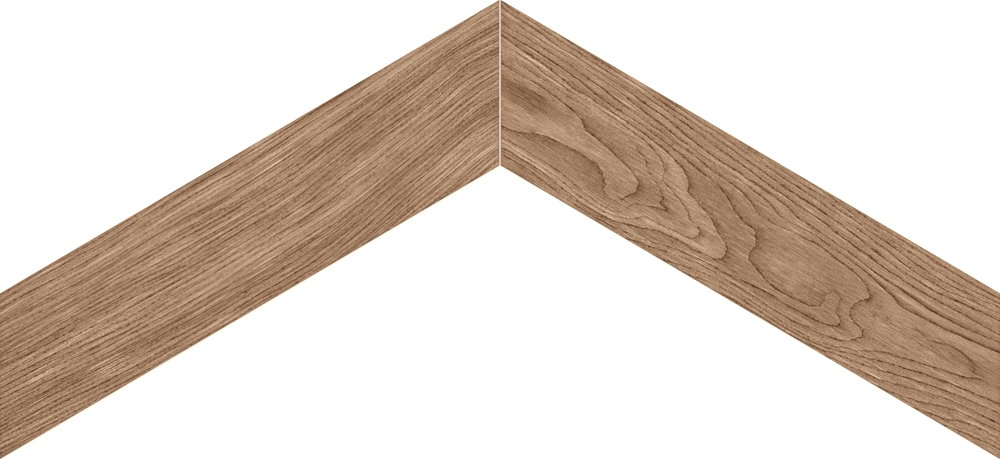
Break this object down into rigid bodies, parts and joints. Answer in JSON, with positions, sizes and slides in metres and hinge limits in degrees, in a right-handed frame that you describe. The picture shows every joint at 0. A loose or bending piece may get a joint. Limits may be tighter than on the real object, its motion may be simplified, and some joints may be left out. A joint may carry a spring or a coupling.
{
  "type": "chevron wall tile",
  "caption": "Wood-look porcelain chevron tile: a left and a right mitred plank that meet at an open joint in a V, to bed on a wall or floor.",
  "frame": {"origin": "under the middle of the pair, on the plane that the backs rest on", "axes": "+Z out of the printed face, +Y towards the point of the V, +X along the span from the left plank to the right"},
  "size_m": [1.0356, 0.4758, 0.009],
  "materials": {
    "wood_look_porcelain": "matte printed oak grain on the face, pale fired body on the back"
  },
  "bodies": {
    "root": {"plank_left": "wood_look_porcelain", "plank_right": "wood_look_porcelain"}
  },
  "joints": []
}
